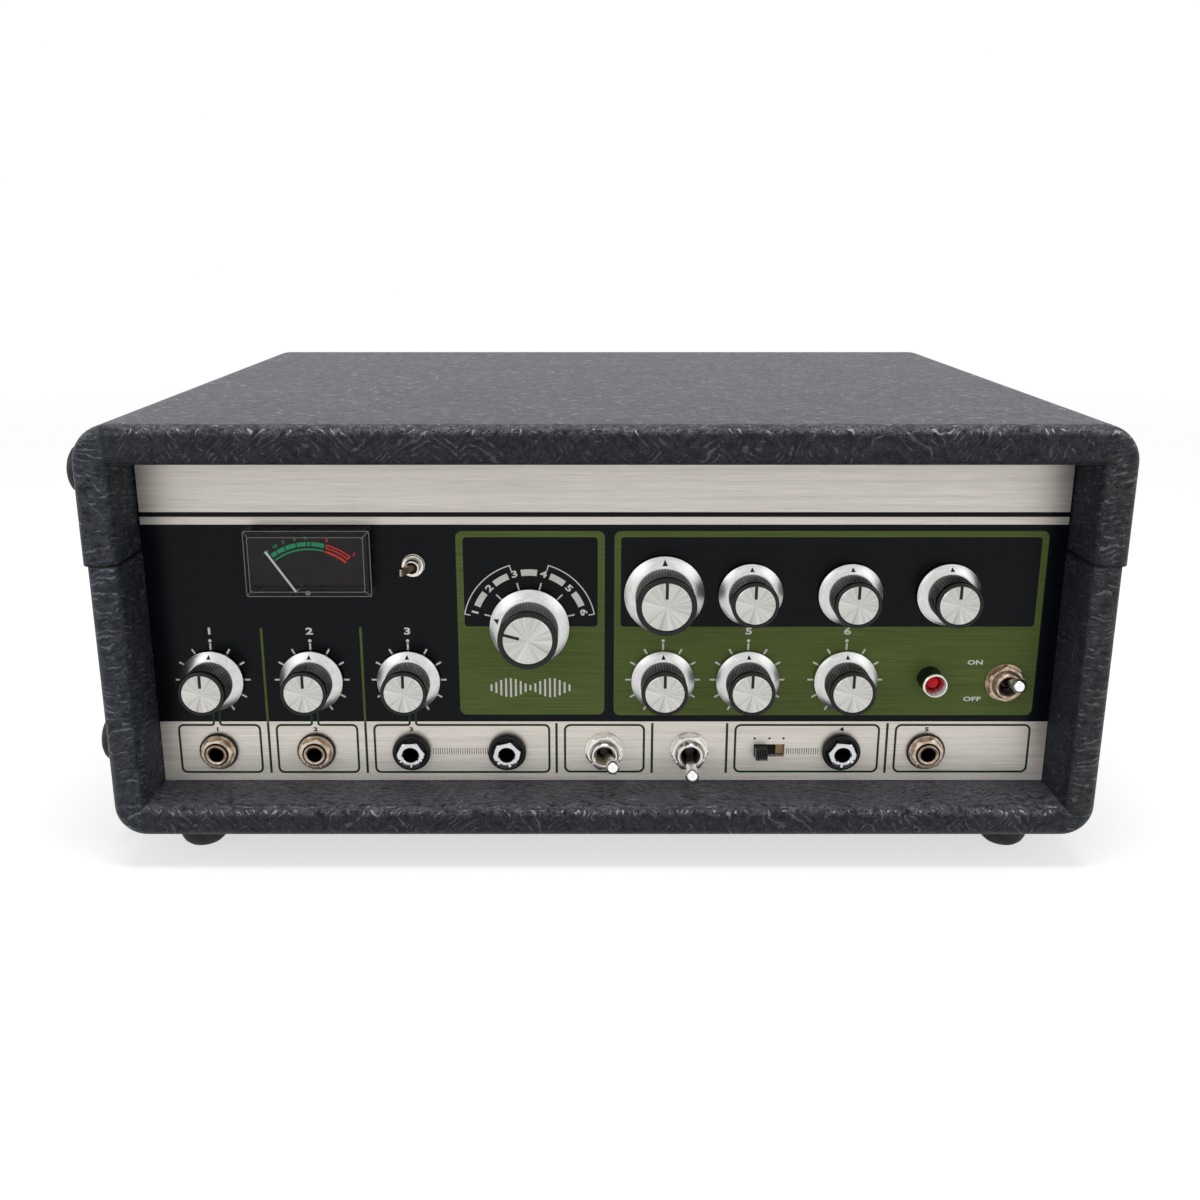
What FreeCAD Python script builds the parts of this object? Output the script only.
"""Tape echo unit: a vinyl-covered two-part case around a metal chassis.

Frame: +X to the right of the front panel, +Y to the back, +Z up, millimetres.
The origin is under the middle of the case, on the surface that it stands on.
"""
import FreeCAD, Part
import math
import os
import Sketcher

DOC = FreeCAD.newDocument("TapeEcho")

# ---------------------------------------------------------------- driving dimensions
# name, value in millimetres (or degrees), meaning
DIMENSIONS = [
    ("case_width", 403.2, "lower case, outside"),
    ("case_depth", 280.0, "both halves of the case, outside"),
    ("case_height", 116.3, "lower case, underside to seam"),
    ("case_wall", 13.0, "side boards of the lower case"),
    ("case_floor", 13.3, "bottom board"),
    ("rear_wall", 18.0, "back boards of both halves"),
    ("case_corner", 13.0, "rounding of the bottom corners seen from the front"),
    ("lid_height", 55.2, "lid, seam to top"),
    ("lid_overhang", 1.6, "lid past the lower case on each side"),
    ("lid_wall", 14.0, "side boards of the lid"),
    ("lid_board", 15.8, "top board of the lid"),
    ("lid_corner", 15.0, "rounding of the top corners seen from the front"),
    ("edge_round", 4.5, "rounding of the front and back edges of the boards"),
    ("edge_flat", 1.2, "flat that is left between two rounded edges of a board"),
    ("foot_height", 14.7, "rubber feet under the case"),
    ("side_foot_height", 11.9, "rubber feet on the left side"),
    ("foot_radius", 12.0, "rubber feet at the case"),
    ("foot_tip", 9.0, "rubber feet at the tip"),
    ("foot_round", 4.0, "rounding of the foot's tip"),
    ("foot_inset_x", 28.1, "case side to the middle of a bottom foot"),
    ("foot_inset_y", 26.0, "case front or back to the middle of a bottom foot"),
    ("side_foot_inset", 28.0, "case front or back to the middle of a side foot"),
    ("side_foot_low", 32.8, "case underside to the lower side feet"),
    ("side_foot_high", 22.0, "lid top to the upper side feet"),
    ("recess", 25.0, "case front to panel front"),
    ("panel_width", 376.6, "front panel"),
    ("panel_thick", 3.0, "front panel"),
    ("panel_gap", 0.2, "floor board to the panel's lower edge"),
    ("panel_top_gap", 1.0, "panel's upper edge to the lid's board"),
    ("sheet_thick", 1.5, "sheet metal of chassis and deck"),
    ("chassis_width", 368.0, "chassis, outside"),
    ("chassis_gap", 3.0, "chassis to the back board"),
    ("chassis_lip", 6.0, "lips that the front panel is fixed to"),
    ("deck_height", 113.0, "floor board to the deck's underside"),
    ("bush_hole", 4.0, "panel holes for the control bushes"),
    ("control_bush", 3.75, "threaded bush of a control"),
    ("control_body", 11.8, "can of a control"),
    ("control_depth", 10.0, "can of a control, length"),
    ("control_bush_out", 4.2, "control bush past the panel"),
    ("control_nut", 6.2, "nut on a control bush, to its corners"),
    ("control_nut_thick", 2.2, "nut on a control bush"),
    ("shaft_radius", 3.0, "control shaft"),
    ("shaft_in", 9.0, "control shaft behind the panel face"),
    ("shaft_out", 13.0, "control shaft before the panel face"),
    ("running_gap", 0.05, "radial clearance of shafts and pins"),
    ("selector_body", 15.0, "rotary switch, radius of its wafers"),
    ("selector_depth", 24.0, "rotary switch, length"),
    ("knob_lift", 1.0, "panel face to a knob's skirt"),
    ("skirt_hollow", 7.2, "hollow under a knob, radius"),
    ("cap_thick", 1.1, "metal cap of a knob"),
    ("cap_gap", 0.25, "around the metal cap"),
    ("cap_sink", 0.5, "depth of the seat that holds the cap"),
    ("small_skirt", 13.25, "small knob, skirt radius"),
    ("small_grip", 9.5, "small knob, grip radius"),
    ("small_cap", 8.05, "small knob, cap radius"),
    ("small_height", 16.5, "small knob, panel face to its top"),
    ("small_seat", 4.6, "small knob, panel face to the top of its skirt"),
    ("large_skirt", 16.5, "large knob, skirt radius"),
    ("large_grip", 13.0, "large knob, grip radius"),
    ("large_cap", 10.15, "large knob, cap radius"),
    ("large_height", 18.5, "large knob, panel face to its top"),
    ("large_seat", 5.2, "large knob, panel face to the top of its skirt"),
    ("input_first", -164.1, "left input knob and jack"),
    ("input_second", -122.5, "middle input knob and jack"),
    ("input_third", -81.8, "right input knob and jack"),
    ("row_low", 74.4, "height of the lower row of knobs"),
    ("row_high", 112.3, "height of the upper row of knobs"),
    ("selector_across", -30.9, "mode selector"),
    ("selector_up", 98.2, "mode selector, height"),
    ("column_first", 24.6, "echo knobs, first column"),
    ("column_second", 60.1, "echo knobs, second column"),
    ("column_third", 101.1, "echo knobs, third column"),
    ("column_fourth", 141.5, "echo knob, fourth column"),
    ("jack_row", 42.0, "height of the sockets and lower switches"),
    ("jack_fourth", -41.1, "fourth socket"),
    ("jack_last", 137.3, "last socket"),
    ("jack_bore", 3.25, "quarter-inch socket, bore radius"),
    ("jack_bush", 4.75, "socket bush radius"),
    ("jack_bush_out", 4.5, "socket bush past the panel"),
    ("jack_body_width", 15.0, "socket body"),
    ("jack_body_height", 18.0, "socket body"),
    ("jack_body_depth", 24.0, "socket body behind the panel"),
    ("jack_bore_end", 2.0, "wall at the end of a socket's bore"),
    ("jack_washer", 8.2, "socket washer radius"),
    ("jack_washer_thick", 1.0, "socket washer"),
    ("jack_nut", 7.3, "socket nut to its corners"),
    ("jack_nut_thick", 2.2, "socket nut"),
    ("toggle_first", 0.3, "sideways toggle"),
    ("toggle_second", 36.5, "upright toggle"),
    ("power_across", 168.3, "power toggle"),
    ("power_up", 73.3, "power toggle, height"),
    ("toggle_bush", 5.95, "toggle bush radius"),
    ("toggle_hole", 4.2, "opening in a toggle bush"),
    ("toggle_bush_out", 6.0, "toggle bush past the panel"),
    ("toggle_nut", 8.25, "toggle nut to its corners"),
    ("toggle_nut_thick", 3.0, "toggle nut"),
    ("toggle_body_width", 17.0, "toggle body"),
    ("toggle_body_length", 24.0, "toggle body along its swing"),
    ("toggle_body_depth", 22.0, "toggle body behind the panel"),
    ("toggle_well", 9.0, "hollow under the bush, depth behind the panel face"),
    ("toggle_pivot_in", 1.0, "lever pivot behind the panel face"),
    ("toggle_pin", 0.8, "lever pivot pin"),
    ("lever_length", 20.0, "lever past its pivot"),
    ("lever_tip", 3.0, "lever tip radius"),
    ("lever_neck", 1.5, "lever neck radius"),
    ("lever_tail", 5.0, "lever below its pivot"),
    ("lever_ball", 2.6, "lever at its pivot"),
    ("first_tilt", 11.0, "rest tilt of the sideways toggle, degrees"),
    ("second_tilt", 13.0, "rest tilt of the upright toggle, degrees"),
    ("power_tilt", 16.0, "rest tilt of the power toggle, degrees"),
    ("mini_across", -78.2, "miniature switch"),
    ("mini_up", 124.5, "miniature switch, height"),
    ("mini_bush", 3.2, "miniature switch bush"),
    ("mini_hole", 2.5, "opening in the miniature bush"),
    ("mini_bush_out", 5.0, "miniature bush past the panel"),
    ("mini_nut", 4.75, "miniature ring nut"),
    ("mini_nut_thick", 2.0, "miniature ring nut"),
    ("mini_body", 9.0, "miniature switch body, both ways"),
    ("mini_body_depth", 10.0, "miniature switch body"),
    ("mini_pivot_out", 3.5, "miniature lever pivot before the panel face"),
    ("mini_pin", 0.4, "miniature pivot pin"),
    ("mini_lever_wide", 2.9, "miniature paddle"),
    ("mini_lever_thick", 1.6, "miniature paddle"),
    ("mini_lever_out", 9.0, "paddle past its pivot"),
    ("mini_lever_in", 1.6, "paddle below its pivot"),
    ("mini_tilt", 24.0, "rest tilt of the paddle, degrees"),
    ("slide_across", 70.6, "slide switch"),
    ("slide_slot", 13.1, "slide switch slot"),
    ("slide_slot_tall", 5.8, "slide switch slot"),
    ("slide_knob_wide", 5.0, "slide knob"),
    ("slide_gap", 0.3, "slide knob to its slot"),
    ("slide_knob_out", 5.0, "slide knob past the panel"),
    ("slide_body_wide", 24.0, "slide switch body"),
    ("slide_body_tall", 9.6, "slide switch body"),
    ("slide_body_depth", 8.0, "slide switch body"),
    ("slide_well", 6.0, "slot's depth in the switch body"),
    ("lamp_across", 136.5, "pilot lamp"),
    ("lamp_up", 75.2, "pilot lamp, height"),
    ("lamp_ring", 5.25, "lamp bezel"),
    ("lamp_barrel", 4.2, "lamp barrel through the panel"),
    ("lamp_out", 9.5, "lamp bezel past the panel"),
    ("lamp_lens", 2.9, "lamp lens radius"),
    ("lamp_in", 14.0, "lamp barrel behind the panel face"),
    ("lens_drop", 2.8, "lens tip below the bezel's rim"),
    ("meter_across", -119.5, "level meter"),
    ("meter_up", 127.0, "level meter, height of its window"),
    ("meter_wide", 51.0, "clear meter cover"),
    ("meter_tall", 28.5, "clear meter cover"),
    ("meter_out", 10.0, "clear meter cover past the panel"),
    ("meter_skin", 1.3, "clear meter cover, thickness"),
    ("meter_bevel", 2.2, "clear meter cover, front bevel"),
    ("meter_neck_inset", 0.3, "meter case inside its cover"),
    ("meter_case_wall", 1.5, "meter case"),
    ("meter_case_depth", 18.0, "meter case behind the panel"),
    ("meter_case_drop", 13.0, "meter case below its window, behind the panel"),
    ("dial_out", 5.4, "back of the meter dial before the panel face"),
    ("dial_thick", 1.0, "meter dial"),
    ("dial_raise", 4.9, "bottom of the cover to the dial's lower edge"),
    ("needle_pivot_drop", 5.4, "needle pivot below the cover"),
    ("needle_length", 30.0, "pivot to tip"),
    ("needle_crank", 9.7, "pivot to the needle's crank"),
    ("needle_out", 7.5, "needle blade before the panel face"),
    ("needle_thick", 0.5, "needle"),
    ("needle_wide", 0.8, "needle"),
    ("needle_hub", 2.0, "needle hub radius"),
    ("needle_hub_in", 8.0, "needle hub behind the panel face"),
    ("needle_pin", 0.6, "needle pivot pin"),
    ("needle_rest", 34.0, "needle at rest, degrees left of upright"),
    ("service_inset", 36.6, "case side to the rear service plate"),
    ("service_up", 72.0, "rear service plate, height"),
    ("service_wide", 150.0, "rear service plate"),
    ("service_tall", 64.0, "rear service plate"),
    ("service_thick", 2.0, "rear service plate"),
    ("service_sink", 6.0, "depth of the service plate's seat"),
    ("service_rebate", 6.0, "width of the service plate's seat"),
    ("service_gap", 0.3, "around the service plate"),
    ("inlet_offset", 38.0, "mains inlet from the plate's middle"),
    ("inlet_wide", 27.0, "mains inlet body"),
    ("inlet_tall", 20.0, "mains inlet body"),
    ("inlet_flange", 4.0, "mains inlet flange around its body"),
    ("inlet_flange_thick", 2.0, "mains inlet flange"),
    ("inlet_depth", 24.0, "mains inlet body"),
    ("inlet_wall", 2.2, "mains inlet body"),
    ("inlet_hollow", 17.0, "mains inlet, depth of its hollow"),
    ("inlet_pin_pitch", 7.0, "mains inlet pins"),
    ("inlet_pin_thick", 2.0, "mains inlet pins"),
    ("inlet_pin_tall", 4.0, "mains inlet pins"),
    ("inlet_pin_length", 14.0, "mains inlet pins"),
    ("inlet_pin_drop", 3.2, "mains inlet pins below its middle"),
    ("fuse_offset", -30.0, "fuse holder from the plate's middle"),
    ("fuse_body", 5.8, "fuse holder body"),
    ("fuse_cap", 7.0, "fuse holder cap"),
    ("fuse_cap_thick", 3.6, "fuse holder cap"),
    ("fuse_depth", 34.0, "fuse holder body"),
    ("service_screw_inset", 5.0, "service plate's edge to its screws"),
    ("screw_head", 3.0, "screw head radius"),
    ("screw_head_tall", 1.8, "screw head"),
    ("screw_shank", 1.5, "screw shank radius"),
    ("screw_length", 10.0, "screw shank"),
    ("handle_up", 98.0, "handle pivots, height"),
    ("handle_span", 130.0, "between the middles of the handle's legs"),
    ("handle_drop", 46.0, "handle pivots to the middle of the grip"),
    ("handle_rod", 4.0, "handle bail rod radius"),
    ("handle_bend", 12.0, "handle bail corner radius"),
    ("handle_grip", 6.0, "handle grip radius"),
    ("handle_grip_length", 94.0, "handle grip"),
    ("handle_out", 7.5, "case side to the handle's pivot"),
    ("handle_pin", 2.0, "handle pivot pin"),
    ("handle_eye", 5.2, "eye at the end of a leg"),
    ("handle_eye_long", 9.0, "eye along its pin"),
    ("ear_gap", 0.4, "eye to the bracket's ears"),
    ("ear_thick", 2.5, "bracket ears"),
    ("ear_round", 5.5, "bracket ears around the pin"),
    ("bracket_thick", 2.0, "bracket base plate"),
    ("bracket_tall", 34.0, "bracket base plate"),
    ("bracket_wide", 24.0, "bracket base plate"),
    ("clip_apart", 150.0, "lid clips, front to back"),
    ("clip_gap", 0.3, "lid clips to the chassis"),
    ("clip_long", 16.0, "lid clips, front to back"),
    ("clip_tall", 20.0, "lid clips"),
    ("clip_nose", 4.0, "lid clips, sloping nose"),
    ("tape_line", 31.0, "panel front to the run of tape past the heads"),
    ("tape_up", 4.0, "deck top to the tape's lower edge"),
    ("tape_wide", 6.35, "tape width"),
    ("tape_thick", 0.4, "tape, drawn thicker than life"),
    ("tape_gap", 0.3, "tape to what guides it"),
    ("guide_radius", 5.0, "guide posts"),
    ("guide_tall", 13.0, "guide posts"),
    ("guide_flange", 1.0, "guide post flanges"),
    ("loop_left", -160.0, "left run of the tape loop"),
    ("loop_right", 140.0, "right run of the tape loop"),
    ("loop_inset", 16.0, "back of the tape tank to the back run of the tape loop"),
    ("fold_pitch", 18.0, "folds of the tape in its tank"),
    ("fold_inset", 25.0, "tape runs to the folds' ends"),
    ("tank_left", -172.0, "tape tank"),
    ("tank_right", 152.0, "tape tank"),
    ("tank_line", 24.0, "run of tape past the heads to the tape tank"),
    ("tank_inset", 11.0, "chassis back to the tape tank"),
    ("tank_tall", 14.0, "tape tank"),
    ("tank_wall", 2.0, "tape tank"),
    ("tank_notch", 8.0, "openings for the tape in the tank's front wall"),
    ("cover_thick", 2.5, "clear tank cover"),
    ("cover_screw", 5.0, "tank cover thumb screws"),
    ("cover_screw_inset", 9.0, "tank cover's edge to its screws"),
    ("head_first", -112.0, "erase head"),
    ("head_pitch", 34.0, "between the heads"),
    ("head_wide", 13.0, "tape heads"),
    ("head_deep", 13.0, "tape heads"),
    ("head_tall", 13.5, "tape heads"),
    ("head_nose", 5.0, "rounding of a head's face"),
    ("pad_arm", 1.2, "pressure pad bar"),
    ("pad_wide", 7.0, "felt pads"),
    ("pad_deep", 2.5, "felt pads"),
    ("pad_bar_tall", 9.0, "pressure pad bar"),
    ("capstan_across", 95.0, "capstan"),
    ("capstan_radius", 3.0, "capstan shaft"),
    ("capstan_tall", 16.0, "capstan past the deck"),
    ("capstan_tail", 21.0, "capstan below the deck's underside"),
    ("flywheel_radius", 28.0, "flywheel"),
    ("flywheel_thick", 8.0, "flywheel and motor pulley"),
    ("flywheel_drop", 6.0, "deck's underside to the flywheel"),
    ("bearing_radius", 6.4, "capstan bearing"),
    ("bearing_flange", 7.5, "capstan bearing flange"),
    ("bearing_flange_thick", 1.5, "capstan bearing flange"),
    ("bearing_down", 4.0, "capstan bearing below the deck's underside"),
    ("bearing_gap", 0.2, "deck hole around the bearing"),
    ("roller_radius", 9.0, "pinch roller"),
    ("roller_tall", 10.0, "pinch roller"),
    ("roller_pin", 2.0, "pinch roller pin"),
    ("arm_length", 32.0, "pinch arm"),
    ("arm_half", 4.4, "pinch arm, half its width"),
    ("arm_thick", 2.0, "pinch arm"),
    ("arm_up", 0.8, "pinch arm above the deck"),
    ("arm_pin", 2.5, "pinch arm pivot"),
    ("motor_back", 110.0, "capstan to motor"),
    ("motor_radius", 24.0, "motor"),
    ("motor_tall", 44.0, "motor"),
    ("motor_post", 3.0, "motor posts"),
    ("motor_post_ring", 20.0, "circle of the motor posts"),
    ("motor_drop", 19.0, "deck's underside to the motor"),
    ("motor_shaft", 2.0, "motor shaft"),
    ("motor_shaft_in", 10.0, "motor shaft in the motor"),
    ("pulley_radius", 8.0, "motor pulley"),
    ("belt_thick", 1.5, "drive belt"),
    ("belt_tall", 5.0, "drive belt"),
    ("belt_gap", 0.3, "belt to its pulleys"),
    ("core_across", -118.0, "mains transformer"),
    ("core_inset", 57.0, "chassis back to the middle of the transformer"),
    ("core_wide", 62.0, "transformer core"),
    ("core_deep", 30.0, "transformer core"),
    ("core_tall", 52.0, "transformer core"),
    ("coil_wide", 36.0, "transformer coil"),
    ("coil_deep", 54.0, "transformer coil"),
    ("coil_tall", 32.0, "transformer coil"),
    ("core_flange", 12.0, "transformer mounting flanges"),
    ("board_left", -50.0, "main circuit board"),
    ("board_inset", 72.0, "front panel to the main circuit board"),
    ("board_wide", 190.0, "main circuit board"),
    ("board_deep", 120.0, "main circuit board"),
    ("board_thick", 1.6, "main circuit board"),
    ("board_up", 8.0, "chassis plate to the circuit board"),
    ("board_post", 3.0, "posts under the circuit board"),
    ("can_radius", 7.0, "large capacitors"),
    ("can_tall", 22.0, "large capacitors"),
    ("chip_wide", 18.0, "integrated circuits"),
    ("chip_deep", 7.0, "integrated circuits"),
    ("chip_tall", 4.0, "integrated circuits"),
]


class Size:
    """A length with the spreadsheet formula that it comes from and its present value."""

    def __init__(self, formula, value):
        self.formula = formula
        self.value = value

    @staticmethod
    def of(item):
        return item if isinstance(item, Size) else Size(repr(float(item)), float(item))

    def joined(self, sign, other, value):
        return Size("(%s %s %s)" % (self.formula, sign, other.formula), value)

    def __add__(self, item):
        other = Size.of(item)
        return self.joined("+", other, self.value + other.value)

    def __radd__(self, item):
        return Size.of(item) + self

    def __sub__(self, item):
        other = Size.of(item)
        return self.joined("-", other, self.value - other.value)

    def __rsub__(self, item):
        return Size.of(item) - self

    def __mul__(self, item):
        other = Size.of(item)
        return self.joined("*", other, self.value * other.value)

    def __rmul__(self, item):
        return Size.of(item) * self

    def __truediv__(self, item):
        other = Size.of(item)
        return self.joined("/", other, self.value / other.value)

    def __neg__(self):
        return Size.of(0) - self

    def __float__(self):
        return self.value


def smaller(one, two):
    """The smaller of two sizes, as a formula that follows both."""
    return Size("min(%s; %s)" % (one.formula, two.formula), min(one.value, two.value))


class Sheet:
    """The spreadsheet, read as attributes: s.case_width is a Size."""


def make_sheet():
    table = DOC.addObject("Spreadsheet::Sheet", "Sizes")
    found = Sheet()
    for row, (name, value, meaning) in enumerate(DIMENSIONS, start=1):
        table.set("A%d" % row, name)
        table.set("B%d" % row, str(value))
        table.set("C%d" % row, meaning)
        table.setAlias("B%d" % row, name)
        setattr(found, name, Size("Sizes." + name, value))
    DOC.recompute()
    return found


s = make_sheet()

# ---------------------------------------------------------------- derived places
FRONT = -s.case_depth / 2
BACK = s.case_depth / 2
PANEL_FACE = FRONT + s.recess
PANEL_BACK = PANEL_FACE + s.panel_thick
FLOOR_TOP = s.foot_height + s.case_floor
SEAM = s.foot_height + s.case_height
LID_TOP = SEAM + s.lid_height
LID_BOARD = LID_TOP - s.lid_board
SIDE = s.case_width / 2
LID_SIDE = SIDE + s.lid_overhang
PLATE_TOP = FLOOR_TOP + s.sheet_thick
DECK_UNDER = FLOOR_TOP + s.deck_height
DECK_TOP = DECK_UNDER + s.sheet_thick
TAPE_LINE = PANEL_FACE + s.tape_line
TAPE_LOW = DECK_TOP + s.tape_up
CAPSTAN_LINE = TAPE_LINE + s.tape_thick / 2 + s.tape_gap + s.capstan_radius
ROLLER_LINE = TAPE_LINE - s.tape_thick / 2 - s.tape_gap - s.roller_radius
WHEEL_LOW = DECK_UNDER - s.flywheel_drop - s.flywheel_thick
MOTOR_LINE = CAPSTAN_LINE + s.motor_back
MOTOR_TOP = DECK_UNDER - s.motor_drop
SERVICE_SEAT = BACK - s.service_sink
SERVICE_ACROSS = SIDE - s.service_inset - s.service_wide / 2
CHASSIS_BACK = BACK - s.rear_wall - s.chassis_gap
TANK_FRONT = TAPE_LINE + s.tank_line
TANK_BACK = CHASSIS_BACK - s.tank_inset
LOOP_BACK = TANK_BACK - s.loop_inset
BOARD_FRONT = PANEL_BACK + s.board_inset
HANDLE_LINE = SIDE + s.handle_out
CASE_ROUND = smaller(s.edge_round, (smaller(s.case_floor, s.case_wall) - s.edge_flat) / 2)
LID_ROUND = smaller(s.edge_round, (smaller(s.lid_board, s.lid_wall) - s.edge_flat) / 2)

SMALL_KNOBS = [
    ("knob_input_1", s.input_first, s.row_low),
    ("knob_input_2", s.input_second, s.row_low),
    ("knob_input_3", s.input_third, s.row_low),
    ("knob_upper_2", s.column_second, s.row_high),
    ("knob_upper_3", s.column_third, s.row_high),
    ("knob_upper_4", s.column_fourth, s.row_high),
    ("knob_lower_1", s.column_first, s.row_low),
    ("knob_lower_2", s.column_second, s.row_low),
    ("knob_lower_3", s.column_third, s.row_low),
]
LARGE_KNOBS = [
    ("knob_upper_1", s.column_first, s.row_high),
    ("knob_selector", s.selector_across, s.selector_up),
]
JACKS = [s.input_first, s.input_second, s.input_third, s.jack_fourth, s.column_third, s.jack_last]
TOGGLES = [
    (s.toggle_first, s.jack_row),
    (s.toggle_second, s.jack_row),
    (s.power_across, s.power_up),
]

UPRIGHT = FreeCAD.Rotation()
OUTWARD = FreeCAD.Rotation(FreeCAD.Vector(1, 0, 0), 90)
REARWARD = FreeCAD.Rotation(FreeCAD.Vector(1, 0, 0), -90)
ORIGIN = (0, 0, 0)
HEADS = 5
BOARD_CANS = 3
BOARD_CHIPS = 6
CHIP_COLUMNS = 3
MOTOR_POSTS = 3
INLET_PINS = 3
TOUCHING = 0.01
NODES = []


# ---------------------------------------------------------------- modelling helpers
def bind(item, path, length):
    """Drive one property from the spreadsheet."""
    item.setExpression(path, Size.of(length).formula)


def place(item, at=ORIGIN, turn=UPRIGHT):
    item.Placement = FreeCAD.Placement(FreeCAD.Vector(), turn)
    for axis, length in zip("xyz", at):
        bind(item, "Placement.Base." + axis, length)
    return item


def made(kind, name, at, turn, owner=None, **lengths):
    item = owner.newObject(kind, name) if owner else DOC.addObject(kind, name)
    for path, length in lengths.items():
        bind(item, path, length)
    return place(item, at, turn)


def box(name, long, deep, tall, at, turn=UPRIGHT):
    return made("Part::Box", name, at, turn, Length=long, Width=deep, Height=tall)


def rod(name, radius, tall, at=ORIGIN, turn=UPRIGHT):
    return made("Part::Cylinder", name, at, turn, Radius=radius, Height=tall)


def hexagon(name, radius, tall, at=ORIGIN, turn=UPRIGHT):
    item = made("Part::Prism", name, at, turn, Circumradius=radius, Height=tall)
    item.Polygon = 6
    return item


def cut(name, base, *tools):
    item = DOC.addObject("Part::Cut", name)
    item.Base = base
    item.Tool = tools[0] if len(tools) == 1 else fuse(name + "_tools", *tools)
    return item


def fuse(name, *parts):
    item = DOC.addObject("Part::MultiFuse", name)
    item.Shapes = list(parts)
    return item


def group(name, *parts, at=ORIGIN, turn=UPRIGHT):
    """Separate solids carried together."""
    item = DOC.addObject("Part::Compound", name)
    item.Links = list(parts)
    return place(item, at, turn)


def node(item, label):
    """Name a finished sub-part; its label is the name of its file."""
    item.Label = label
    NODES.append(item)
    return item


def new_body(name):
    return DOC.addObject("PartDesign::Body", name)


def add_box(body, name, long, deep, tall, at):
    return made("PartDesign::AdditiveBox", name, at, UPRIGHT, body, Length=long, Width=deep, Height=tall)


def take_box(body, name, long, deep, tall, at):
    return made("PartDesign::SubtractiveBox", name, at, UPRIGHT, body, Length=long, Width=deep, Height=tall)


def take_rod(body, name, radius, tall, at, turn=UPRIGHT):
    return made("PartDesign::SubtractiveCylinder", name, at, turn, body, Radius=radius, Height=tall)


def round_edges(body, name, radius, chosen):
    """Fillet the edges of the body's last feature that the test picks by their box."""
    DOC.recompute()
    last = body.Tip
    whole = last.Shape.BoundBox
    names = ["Edge%d" % (k + 1) for k, edge in enumerate(last.Shape.Edges)
             if chosen(edge.BoundBox, whole)]
    fillet = body.newObject("PartDesign::Fillet", name)
    fillet.Base = (last, names)
    bind(fillet, "Radius", radius)
    return fillet


def same(a, b):
    return abs(a - b) < TOUCHING


def sketch_on(body, name, role):
    sketch = body.newObject("Sketcher::SketchObject", name)
    plane = next(item for item in body.Origin.OriginFeatures if item.Role == role)
    sketch.AttachmentSupport = (plane, [""])
    sketch.MapMode = "FlatFace"
    return sketch


def hold(sketch, kind, geometry, point, length):
    """Dimension a sketch point from the sketch's origin."""
    index = sketch.addConstraint(Sketcher.Constraint(kind, -1, 1, geometry, point, float(length)))
    sketch.setExpression("Constraints[%d]" % index, Size.of(length).formula)


def outline(sketch, points):
    """A closed outline of straight lines through the points."""
    count = len(points)
    corners = [FreeCAD.Vector(float(a), float(b), 0) for a, b in points]
    for k in range(count):
        sketch.addGeometry(Part.LineSegment(corners[k], corners[(k + 1) % count]), False)
    for k in range(count):
        sketch.addConstraint(Sketcher.Constraint("Coincident", k, 2, (k + 1) % count, 1))
        hold(sketch, "DistanceX", k, 1, points[k][0])
        hold(sketch, "DistanceY", k, 1, points[k][1])


def turned(name, points, at=ORIGIN, turn=UPRIGHT):
    """A body of revolution from (radius, height) points."""
    body = new_body(name)
    sketch = sketch_on(body, name + "_profile", "XZ_Plane")
    outline(sketch, points)
    spin = body.newObject("PartDesign::Revolution", name + "_turn")
    spin.Profile = sketch
    spin.ReferenceAxis = (sketch, ["V_Axis"])
    spin.Angle = 360
    return place(body, at, turn)


def extruded(name, points, role, tall, at=ORIGIN, turn=UPRIGHT):
    """A body of one thickness from an outline."""
    body = new_body(name)
    sketch = sketch_on(body, name + "_outline", role)
    outline(sketch, points)
    pad = body.newObject("PartDesign::Pad", name + "_pad")
    pad.Profile = sketch
    bind(pad, "Length", tall)
    return place(body, at, turn)


def on_panel(name, *parts, across, up):
    """Parts drawn with +Z out of the panel's face, set on the front panel."""
    return group(name, *parts, at=(across, PANEL_FACE, up), turn=OUTWARD)


def spread(name, master, places, turn=UPRIGHT):
    """Copies of one part at several places, as separate solids of one sub-part."""
    copies = [group("%s_%d" % (name, k), master, at=at, turn=turn)
              for k, at in enumerate(places, start=1)]
    return group(name, *copies)


# ---------------------------------------------------------------- case
def runs_back(edge):
    """Whether an edge of the case runs from front to back."""
    return edge.YLength > float(s.recess) and edge.XLength < float(s.edge_flat)


def make_lower_case():
    body = new_body("lower_shell")
    add_box(body, "lower_block", s.case_width, s.case_depth, s.case_height,
            (-SIDE, FRONT, s.foot_height))
    round_edges(body, "lower_corners", s.case_corner,
                lambda e, w: same(e.ZMax, w.ZMin) and runs_back(e))
    round_edges(body, "lower_back_edges", CASE_ROUND,
                lambda e, w: same(e.YMin, w.YMax) and not same(e.ZMin, w.ZMax))
    take_box(body, "lower_hollow", s.case_width - 2 * s.case_wall,
             s.case_depth - s.rear_wall + s.recess, s.case_height,
             (s.case_wall - SIDE, FRONT - s.recess, FLOOR_TOP))
    round_edges(body, "lower_front_edges", CASE_ROUND,
                lambda e, w: same(e.YMax, w.YMin) and not same(e.ZMin, w.ZMax))
    take_box(body, "service_seat", s.service_wide, s.service_sink + s.recess, s.service_tall,
             (SERVICE_ACROSS - s.service_wide / 2, SERVICE_SEAT, s.service_up - s.service_tall / 2))
    take_box(body, "service_opening", s.service_wide - 2 * s.service_rebate, 2 * s.rear_wall,
             s.service_tall - 2 * s.service_rebate,
             (SERVICE_ACROSS - s.service_wide / 2 + s.service_rebate, BACK - 2 * s.rear_wall,
              s.service_up - s.service_tall / 2 + s.service_rebate))
    return node(body, "lower_case")


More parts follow.
